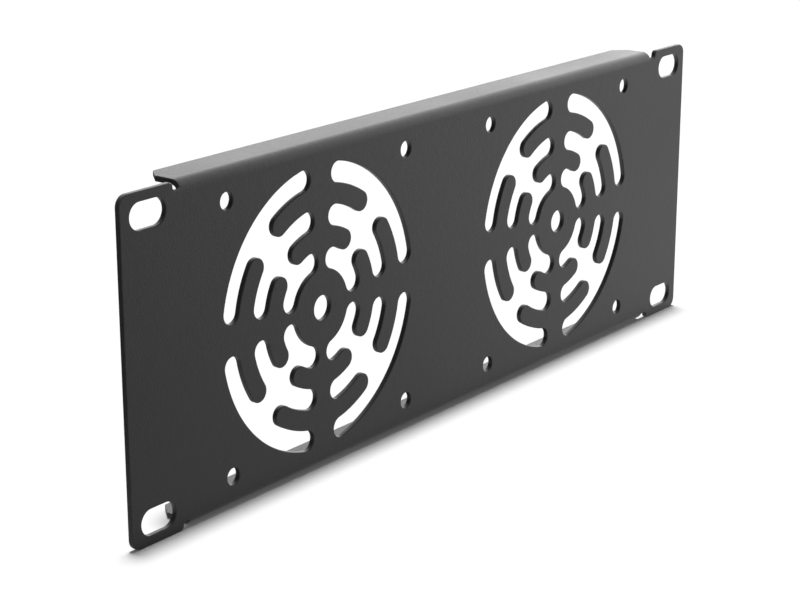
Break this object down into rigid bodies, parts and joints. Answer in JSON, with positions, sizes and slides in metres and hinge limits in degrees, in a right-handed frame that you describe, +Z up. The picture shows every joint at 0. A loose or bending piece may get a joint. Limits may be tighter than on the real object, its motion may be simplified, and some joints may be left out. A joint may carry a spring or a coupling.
{
  "type": "rack fan panel",
  "caption": "Folded sheet-metal panel for a narrow equipment rack, with cut ring grilles and screw holes for axial fans, slotted ears and flanges folded back along its long edges.",
  "frame": {"origin": "middle of the four rack slots, on the rear face of the sheet that meets the rack rails", "axes": "+X to the right seen from the front, +Y back into the rack, +Z up; the front face is at y = -1.5 mm"},
  "size_m": [0.255, 0.0125, 0.0882],
  "materials": {
    "powder_coat": "fine-textured matt charcoal powder coat over steel"
  },
  "bodies": {
    "root": {"fan_panel": "powder_coat"}
  },
  "joints": []
}
